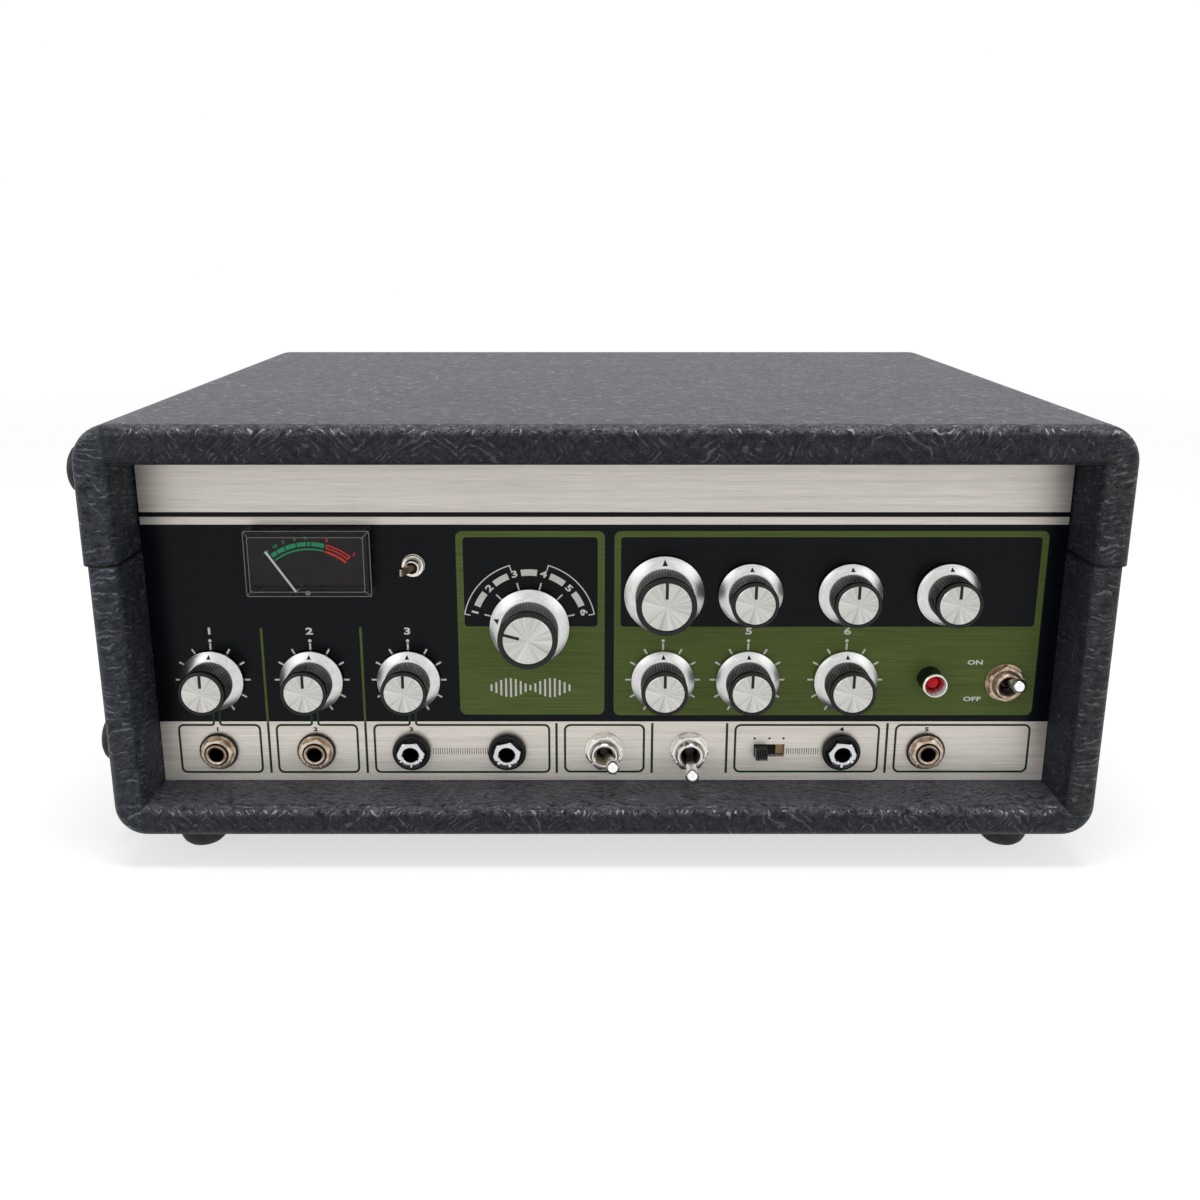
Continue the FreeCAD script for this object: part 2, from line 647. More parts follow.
def make_lid():
    body = new_body("lid_shell")
    add_box(body, "lid_block", 2 * LID_SIDE, s.case_depth, s.lid_height, (-LID_SIDE, FRONT, SEAM))
    round_edges(body, "lid_corners", s.lid_corner,
                lambda e, w: same(e.ZMin, w.ZMax) and runs_back(e))
    round_edges(body, "lid_back_edges", LID_ROUND,
                lambda e, w: same(e.YMin, w.YMax) and not same(e.ZMax, w.ZMin))
    take_box(body, "lid_hollow", 2 * (LID_SIDE - s.lid_wall), s.case_depth - s.rear_wall + s.recess,
             2 * (s.lid_height - s.lid_board),
             (s.lid_wall - LID_SIDE, FRONT - s.recess, SEAM - s.lid_height + s.lid_board))
    round_edges(body, "lid_front_edges", LID_ROUND,
                lambda e, w: same(e.YMax, w.YMin) and not same(e.ZMax, w.ZMin))
    return node(body, "lid")


def rubber_foot(name, tall):
    """A foot that stands on its rounded tip and widens to where it is fixed."""
    foot = turned(name, [(0, 0), (s.foot_tip, 0), (s.foot_radius, tall), (0, tall)])
    round_edges(foot, name + "_rounding", s.foot_round, lambda e, w: same(e.ZMax, w.ZMin))
    return foot


def make_feet():
    """Rubber feet under the case, and on its left side for standing it on end."""
    foot_x = SIDE - s.foot_inset_x
    rows = (FRONT + s.foot_inset_y, BACK - s.foot_inset_y)
    foot = rubber_foot("foot", s.foot_height)
    node(spread("under_feet", foot, [(x, y, 0) for x in (-foot_x, foot_x) for y in rows]), "bottom_feet")
    side_foot = rubber_foot("side_foot", s.side_foot_height)
    side_rows = (FRONT + s.side_foot_inset, BACK - s.side_foot_inset)
    sideways = FreeCAD.Rotation(FreeCAD.Vector(0, 1, 0), 90)
    for part, side, up in (("case", SIDE, s.foot_height + s.side_foot_low),
                           ("lid", LID_SIDE, LID_TOP - s.side_foot_high)):
        places = [(-side - s.side_foot_height, y, up) for y in side_rows]
        node(spread(part + "_feet", side_foot, places, sideways), "side_feet_" + part)


def make_lid_clips():
    """Spring clips inside the lid's side boards, which grip the chassis."""
    reach = LID_SIDE - s.lid_wall - s.chassis_width / 2 - s.clip_gap
    profile = [(0, 0), (reach, s.clip_nose), (reach, s.clip_tall - s.clip_nose), (0, s.clip_tall)]
    clip = extruded("clip", profile, "XZ_Plane", s.clip_long)
    edge = LID_SIDE - s.lid_wall
    base = DECK_UNDER - s.clip_tall / 2
    turned_round = FreeCAD.Rotation(FreeCAD.Vector(0, 0, 1), 180)
    places = [(-edge, sign * s.clip_apart / 2 + s.clip_long / 2, base) for sign in (-1, 1)]
    left = spread("clips_left", clip, places)
    places = [(edge, sign * s.clip_apart / 2 - s.clip_long / 2, base) for sign in (-1, 1)]
    right = spread("clips_right", clip, places, turned_round)
    return node(group("clips", left, right), "lid_clips")


# ---------------------------------------------------------------- carrying handle
def bail_spine(body, half, top, bend):
    """U-shaped path in the upright plane along the side: legs, two bends and a bar."""
    sketch = sketch_on(body, "bail_path", "YZ_Plane")
    runs = [((-half, top), (-half, bend)), ((bend - half, 0), (half - bend, 0)), ((half, bend), (half, top))]
    for k, (start, finish) in enumerate(runs):
        ends = [FreeCAD.Vector(float(a), float(b), 0) for a, b in (start, finish)]
        sketch.addGeometry(Part.LineSegment(*ends), False)
        for point, (across, up) in ((1, start), (2, finish)):
            hold(sketch, "DistanceX", k, point, across)
            hold(sketch, "DistanceY", k, point, up)
    radius = float(bend)
    for k, (across, first, last) in enumerate(((bend - half, 180, 270), (half - bend, 270, 360))):
        centre = FreeCAD.Vector(float(across), radius, 0)
        ring = Part.Circle(centre, FreeCAD.Vector(0, 0, 1), radius)
        arc = sketch.addGeometry(Part.ArcOfCircle(ring, math.radians(first), math.radians(last)), False)
        sketch.addConstraint(Sketcher.Constraint("Coincident", arc, 1, k, 2))
        sketch.addConstraint(Sketcher.Constraint("Coincident", arc, 2, k + 1, 1))
        hold(sketch, "DistanceX", arc, 3, across)
    return sketch


def make_handle():
    """A bail with a grip, hanging down the right side from two brackets."""
    half = s.handle_span / 2
    body = new_body("bail")
    spine = bail_spine(body, half, s.handle_drop, s.handle_bend)
    section = sketch_on(body, "bail_section", "XY_Plane")
    bind(section, "AttachmentOffset.Base.z", s.handle_drop)
    ring = section.addGeometry(Part.Circle(FreeCAD.Vector(0, -float(half), 0), FreeCAD.Vector(0, 0, 1),
                                           float(s.handle_rod)), False)
    hold(section, "DistanceX", ring, 3, 0)
    hold(section, "DistanceY", ring, 3, -half)
    index = section.addConstraint(Sketcher.Constraint("Radius", ring, float(s.handle_rod)))
    section.setExpression("Constraints[%d]" % index, s.handle_rod.formula)
    pipe = body.newObject("PartDesign::AdditivePipe", "bail_rod")
    pipe.Profile = section
    pipe.Spine = (spine, ["Edge%d" % (k + 1) for k in range(5)])
    for sign, tag in ((-1, "near"), (1, "far")):
        made("PartDesign::AdditiveCylinder", "eye_" + tag,
             (0, sign * half - s.handle_eye_long / 2, s.handle_drop), REARWARD, body,
             Radius=s.handle_eye, Height=s.handle_eye_long)
    take_rod(body, "eye_holes", s.handle_pin + s.running_gap, 2 * s.handle_span,
             (0, -s.handle_span, s.handle_drop), REARWARD)
    sleeve = rod("sleeve", s.handle_grip, s.handle_grip_length, (0, -s.handle_grip_length / 2, 0), REARWARD)
    core = rod("sleeve_core", s.handle_rod, s.handle_grip_length, (0, -s.handle_grip_length / 2, 0),
               REARWARD)
    node(group("carrying_handle", body, cut("grip", sleeve, core),
               at=(HANDLE_LINE, 0, s.handle_up - s.handle_drop)), "handle")


def make_handle_brackets():
    ears = s.handle_eye_long / 2 + s.ear_gap
    blocks = []
    for sign, tag in ((-1, "near"), (1, "far")):
        along = sign * s.handle_span / 2
        blocks.append(box("bracket_plate_" + tag, s.bracket_thick, s.bracket_wide, s.bracket_tall,
                          (SIDE, along - s.bracket_wide / 2, s.handle_up - s.bracket_tall / 2)))
        for side, edge in ((-1, along - ears - s.ear_thick), (1, along + ears)):
            ear = "%s_%d" % (tag, side + 1)
            blocks.append(box("ear_" + ear, s.handle_out, s.ear_thick, 2 * s.ear_round,
                              (SIDE, edge, s.handle_up - s.ear_round)))
            blocks.append(rod("ear_end_" + ear, s.ear_round, s.ear_thick,
                              (HANDLE_LINE, edge, s.handle_up), REARWARD))
        blocks.append(rod("hinge_pin_" + tag, s.handle_pin, 2 * (ears + s.ear_thick),
                          (HANDLE_LINE, along - ears - s.ear_thick, s.handle_up), REARWARD))
    node(fuse("brackets", *blocks), "handle_brackets")


# ---------------------------------------------------------------- chassis, deck, panels
def make_chassis():
    """A sheet-metal tray: base plate, side plates and the lips behind the front panel."""
    half = s.chassis_width / 2
    deep = CHASSIS_BACK - PANEL_BACK
    tall = s.deck_height - s.sheet_thick
    blocks = [box("base_plate", s.chassis_width, deep, s.sheet_thick, (-half, PANEL_BACK, FLOOR_TOP))]
    for sign, tag in ((-1, "left"), (1, "right")):
        inner = half if sign < 0 else half - s.sheet_thick
        plate_x = -half if sign < 0 else inner
        lip_x = -half if sign < 0 else half - s.chassis_lip
        blocks.append(box("side_plate_" + tag, s.sheet_thick, deep, tall, (plate_x, PANEL_BACK, PLATE_TOP)))
        blocks.append(box("lip_" + tag, s.chassis_lip, s.sheet_thick, tall, (lip_x, PANEL_BACK, PLATE_TOP)))
    return node(fuse("tray", *blocks), "chassis")


def make_deck():
    body = new_body("deck")
    half = s.chassis_width / 2
    add_box(body, "deck_sheet", s.chassis_width, CHASSIS_BACK - PANEL_BACK, s.sheet_thick,
            (-half, PANEL_BACK, DECK_UNDER))
    take_rod(body, "bearing_hole", s.bearing_radius + s.bearing_gap, 3 * s.sheet_thick,
             (s.capstan_across, CAPSTAN_LINE, DECK_UNDER - s.sheet_thick))
    return node(body, "deck_plate")


def make_front_panel():
    body = new_body("panel")
    low = FLOOR_TOP + s.panel_gap
    add_box(body, "panel_sheet", s.panel_width, s.panel_thick, LID_BOARD - s.panel_top_gap - low,
            (-s.panel_width / 2, PANEL_FACE, low))
    holes = [(x, z, s.bush_hole) for name, x, z in SMALL_KNOBS + LARGE_KNOBS]
    holes += [(x, s.jack_row, s.jack_bush) for x in JACKS]
    holes += [(x, z, s.toggle_bush) for x, z in TOGGLES]
    holes.append((s.mini_across, s.mini_up, s.mini_bush))
    holes.append((s.lamp_across, s.lamp_up, s.lamp_barrel))
    sketch = sketch_on(body, "panel_holes", "XZ_Plane")
    for x, z, radius in holes:
        centre = FreeCAD.Vector(float(x), float(z), 0)
        ring = sketch.addGeometry(Part.Circle(centre, FreeCAD.Vector(0, 0, 1), float(radius)), False)
        hold(sketch, "DistanceX", ring, 3, x)
        hold(sketch, "DistanceY", ring, 3, z)
        index = sketch.addConstraint(Sketcher.Constraint("Radius", ring, float(radius)))
        sketch.setExpression("Constraints[%d]" % index, radius.formula)
    drill = body.newObject("PartDesign::Pocket", "panel_drilling")
    drill.Profile = sketch
    drill.Type = "ThroughAll"
    drill.Midplane = True
    neck_wide = s.meter_wide - 2 * (s.meter_skin + s.meter_neck_inset)
    neck_tall = s.meter_tall - 2 * (s.meter_skin + s.meter_neck_inset)
    take_box(body, "meter_opening", neck_wide, 3 * s.panel_thick, neck_tall,
             (s.meter_across - neck_wide / 2, PANEL_FACE - s.panel_thick, s.meter_up - neck_tall / 2))
    take_box(body, "slide_opening", s.slide_slot, 3 * s.panel_thick, s.slide_slot_tall,
             (s.slide_across - s.slide_slot / 2, PANEL_FACE - s.panel_thick,
              s.jack_row - s.slide_slot_tall / 2))
    return node(body, "front_panel")


def make_rear_service():
    """Plate in the back board with the mains inlet, the fuse holder and its screws."""
    gap = s.service_gap
    wide = s.service_wide - 2 * gap
    tall = s.service_tall - 2 * gap
    left = SERVICE_ACROSS - wide / 2
    low = s.service_up - tall / 2
    plate = new_body("service")
    add_box(plate, "service_sheet", wide, s.service_thick, tall, (left, SERVICE_SEAT, low))
    face = SERVICE_SEAT + s.service_thick
    inlet = SERVICE_ACROSS + s.inlet_offset
    fuse_x = SERVICE_ACROSS + s.fuse_offset
    start = SERVICE_SEAT - s.service_thick
    take_box(plate, "inlet_opening", s.inlet_wide, 3 * s.service_thick, s.inlet_tall,
             (inlet - s.inlet_wide / 2, start, s.service_up - s.inlet_tall / 2))
    take_rod(plate, "fuse_opening", s.fuse_body, 3 * s.service_thick, (fuse_x, start, s.service_up), REARWARD)
    screw_x = wide / 2 - s.service_screw_inset
    screw_z = tall / 2 - s.service_screw_inset
    places = [(SERVICE_ACROSS + a * screw_x, s.service_up + b * screw_z)
              for a in (-1, 1) for b in (-1, 1)]
    for k, (x, z) in enumerate(places):
        take_rod(plate, "screw_opening_%d" % k, s.screw_shank, 3 * s.service_thick, (x, start, z), REARWARD)
    node(plate, "rear_panel")
    screw = turned("screw", [(0, -s.screw_length), (s.screw_shank, -s.screw_length), (s.screw_shank, 0),
                             (s.screw_head, 0), (s.screw_head, s.screw_head_tall / 2),
                             (s.screw_head / 2, s.screw_head_tall), (0, s.screw_head_tall)])
    node(spread("service_screws", screw, [(x, face, z) for x, z in places], REARWARD), "rear_screws")
    holder = turned("fuse", [(0, -s.fuse_depth), (s.fuse_body, -s.fuse_depth), (s.fuse_body, 0),
                             (s.fuse_cap, 0), (s.fuse_cap, s.fuse_cap_thick), (0, s.fuse_cap_thick)],
                    (fuse_x, face, s.service_up), REARWARD)
    node(holder, "fuse_holder")
    make_inlet(inlet, face)


def make_inlet(across, face):
    body = new_body("inlet")
    wide = s.inlet_wide
    tall = s.inlet_tall
    back = face + s.inlet_flange_thick
    add_box(body, "inlet_block", wide, s.inlet_depth, tall,
            (across - wide / 2, back - s.inlet_depth, s.service_up - tall / 2))
    add_box(body, "inlet_rim", wide + 2 * s.inlet_flange, s.inlet_flange_thick, tall + 2 * s.inlet_flange,
            (across - wide / 2 - s.inlet_flange, face, s.service_up - tall / 2 - s.inlet_flange))
    take_box(body, "inlet_socket", wide - 2 * s.inlet_wall, s.inlet_hollow + s.inlet_flange_thick,
             tall - 2 * s.inlet_wall, (across - wide / 2 + s.inlet_wall, back - s.inlet_hollow,
                                       s.service_up - tall / 2 + s.inlet_wall))
    pins = [box("inlet_pin_%d" % k, s.inlet_pin_thick, s.inlet_pin_length, s.inlet_pin_tall,
                (across + (k - 1) * s.inlet_pin_pitch - s.inlet_pin_thick / 2, back - s.inlet_hollow,
                 s.service_up - s.inlet_pin_drop - s.inlet_pin_tall / 2)) for k in range(INLET_PINS)]
    node(group("inlet_socket_and_pins", body, *pins), "mains_inlet")


# ---------------------------------------------------------------- knobs and controls
def knob_master(tag, skirt, grip, cap, height, seat):
    """Knob on the panel's own axis: metal skirt, plastic grip, metal cap and shaft."""
    rim = s.knob_lift + s.cap_sink
    cap_seat = height - s.cap_thick
    ring = turned("skirt_" + tag, [(s.skirt_hollow, s.knob_lift), (skirt - s.cap_sink, s.knob_lift),
                                   (skirt, rim), (skirt, rim + s.cap_sink), (grip, seat),
                                   (s.skirt_hollow, seat)])
    lip = cap_seat + s.cap_sink
    hand = turned("grip_" + tag, [(s.shaft_radius, seat), (grip, seat), (grip, lip - s.cap_sink),
                                  (grip - s.cap_sink, lip), (cap + s.cap_gap, lip),
                                  (cap + s.cap_gap, cap_seat), (s.shaft_radius, cap_seat)])
    disc = turned("cap_" + tag, [(0, cap_seat), (cap, cap_seat), (cap, height - s.cap_gap),
                                 (cap - s.cap_gap, height), (0, height)])
    shaft = rod("shaft_" + tag, s.shaft_radius, s.shaft_in + s.shaft_out, (0, 0, -s.shaft_in))
    return [ring, hand, disc, shaft]


def make_knobs():
    small = knob_master("small", s.small_skirt, s.small_grip, s.small_cap, s.small_height, s.small_seat)
    large = knob_master("large", s.large_skirt, s.large_grip, s.large_cap, s.large_height, s.large_seat)
    for names, parts in ((SMALL_KNOBS, small), (LARGE_KNOBS, large)):
        for name, across, up in names:
            node(on_panel(name + "_set", *parts, across=across, up=up), name)


def threaded_nut(name, radius, hole, tall, at=ORIGIN):
    bore = rod(name + "_bore", hole, 3 * tall, (at[0], at[1], at[2] - tall))
    return cut(name, hexagon(name + "_hex", radius, tall, at), bore)


def make_controls():
    """Potentiometers behind the panel, and the rotary switch behind the mode selector."""
    bore = s.shaft_radius + s.running_gap
    well = s.shaft_in + s.running_gap
    nut = threaded_nut("control_nut_part", s.control_nut, s.control_bush, s.control_nut_thick)
    rear = s.panel_thick + s.control_depth
    pot = turned("pot", [(0, -rear), (s.control_body, -rear), (s.control_body, -s.panel_thick),
                         (s.control_bush, -s.panel_thick), (s.control_bush, s.control_bush_out),
                         (bore, s.control_bush_out), (bore, -well), (0, -well)])
    places = [(x, PANEL_FACE, z) for name, x, z in SMALL_KNOBS + LARGE_KNOBS[:1]]
    node(spread("pots", group("pot_and_nut", pot, nut), places, OUTWARD), "potentiometers")
    end = s.panel_thick + s.selector_depth
    third = s.selector_depth / 3
    neck = s.control_bush * 2
    switch = turned("rotary", [(0, -end), (s.selector_body, -end), (s.selector_body, third / 2 - end),
                               (neck, third / 2 - end), (neck, third - end),
                               (s.selector_body, third - end), (s.selector_body, third * 1.5 - end),
                               (neck, third * 1.5 - end), (neck, third * 2 - end),
                               (s.selector_body, third * 2 - end), (s.selector_body, -s.panel_thick),
                               (s.control_bush, -s.panel_thick), (s.control_bush, s.control_bush_out),
                               (bore, s.control_bush_out), (bore, -well), (0, -well)])
    node(on_panel("rotary_set", switch, nut, across=s.selector_across, up=s.selector_up),
         "selector_switch")


# ---------------------------------------------------------------- sockets and switches
def make_jacks():
    depth = s.panel_thick + s.jack_body_depth
    block = box("jack_block", s.jack_body_width, s.jack_body_height, s.jack_body_depth,
                (-s.jack_body_width / 2, -s.jack_body_height / 2, -depth))
    bush = rod("jack_thread", s.jack_bush, s.panel_thick + s.jack_bush_out, (0, 0, -s.panel_thick))
    hole = rod("jack_hole", s.jack_bore, depth + s.jack_bush_out, (0, 0, s.jack_bore_end - depth))
    jack = cut("jack", fuse("jack_solid", block, bush), hole)
    places = [(x, PANEL_FACE, s.jack_row) for x in JACKS]
    node(spread("jacks", jack, places, OUTWARD), "jack_sockets")
    washer = cut("jack_washer_part", rod("washer_disc", s.jack_washer, s.jack_washer_thick),
                 rod("washer_hole", s.jack_bush, s.jack_washer_thick))
    nut = threaded_nut("jack_nut_part", s.jack_nut, s.jack_bush, s.jack_nut_thick,
                       (0, 0, s.jack_washer_thick))
    node(spread("jack_hardware", group("washer_and_nut", washer, nut), places, OUTWARD), "jack_nuts")


def toggle_lever(name):
    """Bat lever along +Z from its pivot, with the hole for its pin along X."""
    ball = s.lever_ball
    half = ball / 2
    length = s.lever_length
    bat = turned(name + "_bat", [(0, -s.lever_tail), (s.lever_neck, -s.lever_tail),
                                 (s.lever_neck, -ball), (ball, -half), (ball, half),
                                 (s.lever_neck, ball), (s.lever_neck, ball * 2.5),
                                 (s.lever_tip, length - s.lever_tip),
                                 (s.lever_tip * 0.92, length - s.lever_tip * 0.5),
                                 (s.lever_tip * 0.6, length - s.lever_tip * 0.12), (0, length)])
    hole = rod(name + "_pin_hole", s.toggle_pin + s.running_gap, 4 * ball, (-2 * ball, 0, 0),
               FreeCAD.Rotation(FreeCAD.Vector(0, 1, 0), 90))
    return cut(name, bat, hole)


def make_toggles():
    """Three bat-handle toggles; the first swings sideways, the others up and down."""
    depth = s.panel_thick + s.toggle_body_depth
    block = box("toggle_block", s.toggle_body_width, s.toggle_body_length, s.toggle_body_depth,
                (-s.toggle_body_width / 2, -s.toggle_body_length / 2, -depth))
    thread = rod("toggle_thread", s.toggle_bush, s.panel_thick + s.toggle_bush_out, (0, 0, -s.panel_thick))
    well = rod("toggle_well_hole", s.toggle_hole, s.toggle_well + s.toggle_bush_out + s.panel_thick,
               (0, 0, -s.toggle_well))
    pin = rod("toggle_pin_part", s.toggle_pin, 2 * s.toggle_bush - s.lever_neck,
              (s.lever_neck / 2 - s.toggle_bush, 0, -s.toggle_pivot_in),
              FreeCAD.Rotation(FreeCAD.Vector(0, 1, 0), 90))
    shell = cut("toggle_shell", fuse("toggle_solid", block, thread), well)
    nut = threaded_nut("toggle_nut_part", s.toggle_nut, s.toggle_bush, s.toggle_nut_thick)
    switch = group("toggle", fuse("toggle_with_pin", shell, pin), nut)
    sideways = FreeCAD.Rotation(FreeCAD.Vector(0, 0, 1), 90)
    crosswise = group("toggle_crosswise", switch, turn=sideways)
    sets = [on_panel("toggle_set_%d" % k, crosswise if k == 0 else switch, across=x, up=z)
            for k, (x, z) in enumerate(TOGGLES)]
    node(group("toggle_sets", *sets), "toggle_switches")
    lever = toggle_lever("lever")
    upright = group("lever_upright", lever, turn=OUTWARD)
    flat = group("lever_flat", group("lever_crosswise", lever, turn=sideways), turn=OUTWARD)
    pivot = PANEL_FACE + s.toggle_pivot_in
    swings = [("toggle_lever_1", flat, FreeCAD.Vector(0, 0, 1), s.first_tilt),
              ("toggle_lever_2", upright, FreeCAD.Vector(1, 0, 0), s.second_tilt),
              ("power_lever", upright, FreeCAD.Vector(-1, 0, 0), s.power_tilt)]
    for (label, part, axis, tilt), (x, z) in zip(swings, TOGGLES):
        item = group(label + "_set", part, at=(x, pivot, z), turn=FreeCAD.Rotation(axis, float(tilt)))
        bind(item, "Placement.Rotation.Angle", tilt)
        node(item, label)


def make_mini_switch():
    """A miniature toggle whose paddle points to the left."""
    depth = s.panel_thick + s.mini_body_depth
    block = box("mini_block", s.mini_body, s.mini_body, s.mini_body_depth,
                (-s.mini_body / 2, -s.mini_body / 2, -depth))
    thread = rod("mini_thread", s.mini_bush, s.panel_thick + s.mini_bush_out, (0, 0, -s.panel_thick))
    well = rod("mini_well", s.mini_hole, s.panel_thick + 2 * s.mini_bush_out, (0, 0, -s.panel_thick))
    pin = rod("mini_pin_part", s.mini_pin, s.mini_bush + s.mini_hole,
              (0, -(s.mini_bush + s.mini_hole) / 2, s.mini_pivot_out), REARWARD)
    shell = cut("mini_shell", fuse("mini_solid", block, thread), well)
    nut = cut("mini_nut_part", rod("mini_nut_disc", s.mini_nut, s.mini_nut_thick),
              rod("mini_nut_hole", s.mini_bush, s.mini_nut_thick))
    node(on_panel("mini_set", fuse("mini_with_pin", shell, pin), nut, across=s.mini_across, up=s.mini_up),
         "mini_switch")
    paddle = box("paddle_blade", s.mini_lever_thick, s.mini_lever_wide, s.mini_lever_out + s.mini_lever_in,
                 (-s.mini_lever_thick / 2, -s.mini_lever_wide / 2, -s.mini_lever_in))
    hole = rod("paddle_hole", s.mini_pin + s.running_gap, 2 * s.mini_lever_wide,
               (0, -s.mini_lever_wide, 0), REARWARD)
    blade = group("paddle", cut("paddle_drilled", paddle, hole), turn=OUTWARD)
    item = group("paddle_set", blade, at=(s.mini_across, PANEL_FACE - s.mini_pivot_out, s.mini_up),
                 turn=FreeCAD.Rotation(FreeCAD.Vector(0, 0, -1), float(s.mini_tilt)))
    bind(item, "Placement.Rotation.Angle", s.mini_tilt)
    node(item, "mini_lever")


def make_slide_switch():
    """Three-position slide switch, its knob at the left end of the slot."""
    rear = s.panel_thick + s.slide_body_depth
    well_tall = s.slide_slot_tall - s.slide_gap
    block = box("slide_block", s.slide_body_wide, s.slide_body_tall, s.slide_body_depth,
                (-s.slide_body_wide / 2, -s.slide_body_tall / 2, -rear))
    well = box("slide_well_part", s.slide_slot, well_tall, s.slide_well,
               (-s.slide_slot / 2, -well_tall / 2, -s.panel_thick - s.slide_well))
    body = cut("slide_body", block, well)
    node(on_panel("slide_set", body, across=s.slide_across, up=s.jack_row), "slide_switch")
    low = s.slide_gap - s.panel_thick - s.slide_well
    knob_tall = well_tall - 2 * s.slide_gap
    knob = box("slide_knob_part", s.slide_knob_wide, knob_tall, s.slide_knob_out - low,
               (s.slide_gap - s.slide_slot / 2, -knob_tall / 2, low))
    node(on_panel("slide_knob_set", knob, across=s.slide_across, up=s.jack_row), "slide_knob")


def make_lamp():
    rim = s.lamp_out
    barrel = s.lamp_barrel
    bore = s.lamp_lens + s.running_gap
    lip = rim - s.lens_drop - s.lamp_lens / 2
    bezel = turned("bezel", [(bore, -s.lamp_in), (barrel, -s.lamp_in), (barrel, 0), (s.lamp_ring, 0),
                             (s.lamp_ring, rim - s.cap_sink), (s.lamp_ring - s.cap_sink, rim),
                             (barrel, rim), (bore, lip)])
    node(on_panel("bezel_set", bezel, across=s.lamp_across, up=s.lamp_up), "lamp_bezel")
    tip = rim - s.lens_drop
    lens = s.lamp_lens
    glass = turned("lens", [(0, -s.lamp_in), (lens, -s.lamp_in), (lens, tip - lens),
                            (lens * 0.87, tip - lens * 0.5), (lens * 0.5, tip - lens * 0.13), (0, tip)])
    node(on_panel("lens_set", glass, across=s.lamp_across, up=s.lamp_up), "lamp_lens")


# ---------------------------------------------------------------- level meter
def make_meter():
    """Meter: case through the panel, dial, clear cover and a cranked needle."""
    inset = s.meter_skin + s.meter_neck_inset
    neck_wide = s.meter_wide - 2 * inset
    neck_tall = s.meter_tall - 2 * inset
    wall = s.meter_case_wall
    rear = s.panel_thick + s.meter_case_depth
    low = -neck_tall / 2
    neck = box("meter_neck", neck_wide, neck_tall, s.dial_out + s.panel_thick,
               (-neck_wide / 2, low, -s.panel_thick))
    tub = box("meter_tub", neck_wide, neck_tall + s.meter_case_drop, s.meter_case_depth,
              (-neck_wide / 2, low - s.meter_case_drop, -rear))
    neck_room = box("meter_neck_room", neck_wide - 2 * wall, neck_tall - wall,
                    s.dial_out + 2 * s.panel_thick, (wall - neck_wide / 2, low, -2 * s.panel_thick))
    tub_room = box("meter_tub_room", neck_wide - 2 * wall, neck_tall + s.meter_case_drop - 2 * wall,
                   s.meter_case_depth - 2 * wall,
                   (wall - neck_wide / 2, low - s.meter_case_drop + wall, wall - rear))
    shell = cut("meter_shell", fuse("meter_solid", neck, tub), neck_room, tub_room)
    pivot_up = -s.meter_tall / 2 - s.needle_pivot_drop
    pin = rod("meter_pin", s.needle_pin, rear - s.needle_hub_in + wall, (0, pivot_up, -rear))
    node(on_panel("meter_case_set", fuse("meter_case_and_pin", shell, pin), across=s.meter_across,
                  up=s.meter_up), "meter_case")
    dial_low = s.dial_raise - s.meter_tall / 2
    dial = box("dial", neck_wide, neck_tall / 2 - dial_low, s.dial_thick,
               (-neck_wide / 2, dial_low, s.dial_out))
    node(on_panel("dial_set", dial, across=s.meter_across, up=s.meter_up), "meter_dial")
    make_meter_cover()
    make_needle(pivot_up)


def make_meter_cover():
    """Clear box with a bevelled front, open at the panel."""
    body = new_body("cover")
    half_wide = s.meter_wide / 2
    half_tall = s.meter_tall / 2
    add_box(body, "cover_block", s.meter_wide, s.meter_tall, s.meter_out, (-half_wide, -half_tall, 0))
    DOC.recompute()
    last = body.Tip
    top = last.Shape.BoundBox.ZMax
    rim = ["Edge%d" % (k + 1) for k, edge in enumerate(last.Shape.Edges) if same(edge.BoundBox.ZMin, top)]
    bevel = body.newObject("PartDesign::Chamfer", "cover_bevel")
    bevel.Base = (last, rim)
    bind(bevel, "Size", s.meter_bevel)
    take_box(body, "cover_room", s.meter_wide - 2 * s.meter_skin, s.meter_tall - 2 * s.meter_skin,
             s.meter_out - s.meter_skin, (s.meter_skin - half_wide, s.meter_skin - half_tall, 0))
    node(on_panel("cover_set", body, across=s.meter_across, up=s.meter_up), "meter_cover")


def make_needle(pivot_up):
    """Needle pointing straight up from its pivot, then leant left to its rest."""
    half = s.needle_wide / 2
    thick = s.needle_thick
    hub_back = -s.needle_hub_in
    hub_long = s.needle_hub_in - s.panel_thick - s.meter_case_wall - thick
    hub = rod("needle_hub_part", s.needle_hub, hub_long, (0, 0, hub_back))
    arm = box("needle_arm", s.needle_wide, s.needle_crank + half, thick, (-half, 0, hub_back))
    crank = box("needle_crank_part", s.needle_wide, s.needle_wide, s.needle_hub_in + s.needle_out,
                (-half, s.needle_crank - half, hub_back))
    blade = box("needle_blade", s.needle_wide, s.needle_length - s.needle_crank, thick,
                (-half, s.needle_crank, s.needle_out - thick))
    bore = rod("needle_bore", s.needle_pin + s.running_gap, 2 * s.needle_hub_in, (0, 0, -2 * s.needle_hub_in))
    upright = group("needle_upright", cut("needle_part", fuse("needle_solid", hub, arm, crank, blade), bore),
                    turn=OUTWARD)
    item = group("needle_set", upright, at=(s.meter_across, PANEL_FACE, s.meter_up + pivot_up),
                 turn=FreeCAD.Rotation(FreeCAD.Vector(0, -1, 0), float(s.needle_rest)))
    bind(item, "Placement.Rotation.Angle", s.needle_rest)
    node(item, "meter_needle")


